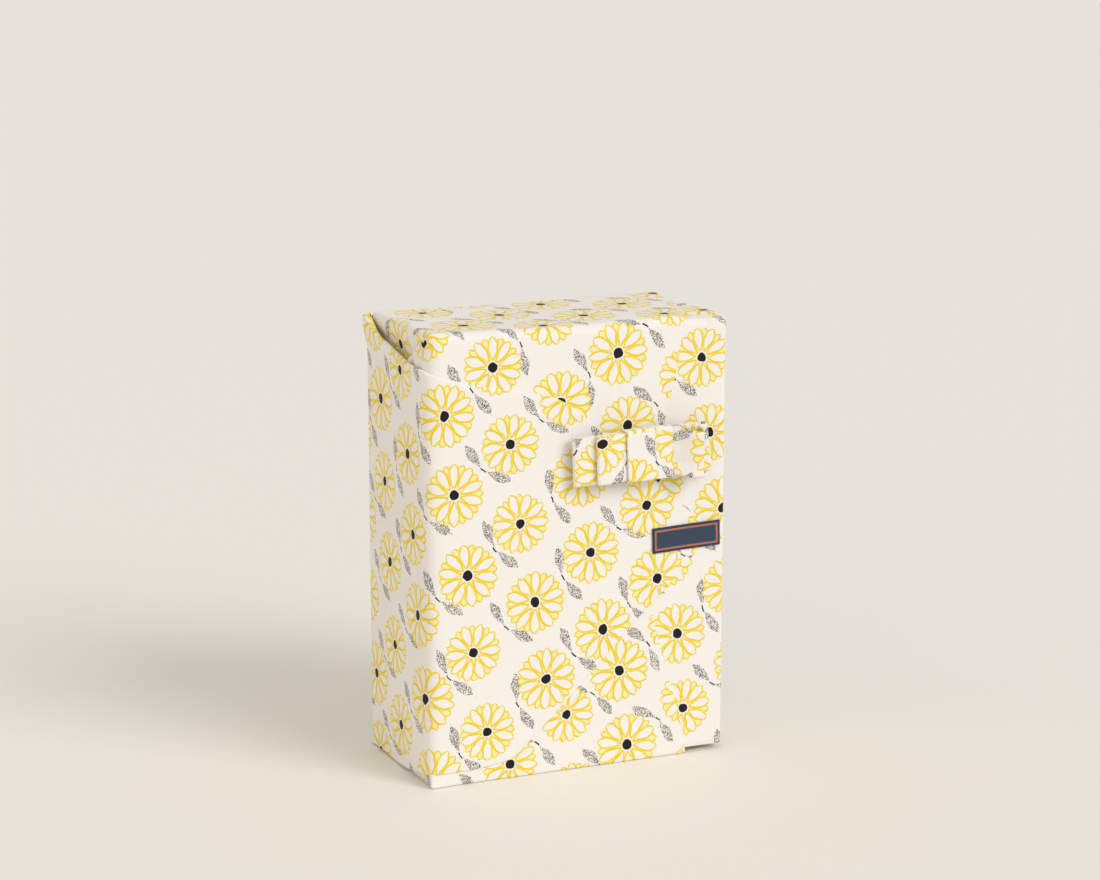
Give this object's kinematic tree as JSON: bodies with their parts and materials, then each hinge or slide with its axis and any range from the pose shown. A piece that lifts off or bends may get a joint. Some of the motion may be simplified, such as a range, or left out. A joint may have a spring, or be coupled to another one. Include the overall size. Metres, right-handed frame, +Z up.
{
  "type": "furoshiki wrap",
  "caption": "Square printed cloth folded round a box shape into a hollow upright parcel, with a flat fabric bow and a woven label on its front.",
  "frame": {"origin": "middle of the flat base, on the surface the wrap stands on", "axes": "+Z up, +X to the right of someone facing the front, and the front with the bow faces -Y"},
  "size_m": [0.1842, 0.1085, 0.2555],
  "materials": {
    "printed_cotton": "matt plain weave",
    "woven_label": "fine woven"
  },
  "bodies": {
    "root": {"wrap_cloth": "printed_cotton", "bow_lower_loop": "printed_cotton", "bow_upper_loop": "printed_cotton", "bow_band": "printed_cotton", "label": "woven_label"}
  },
  "joints": []
}
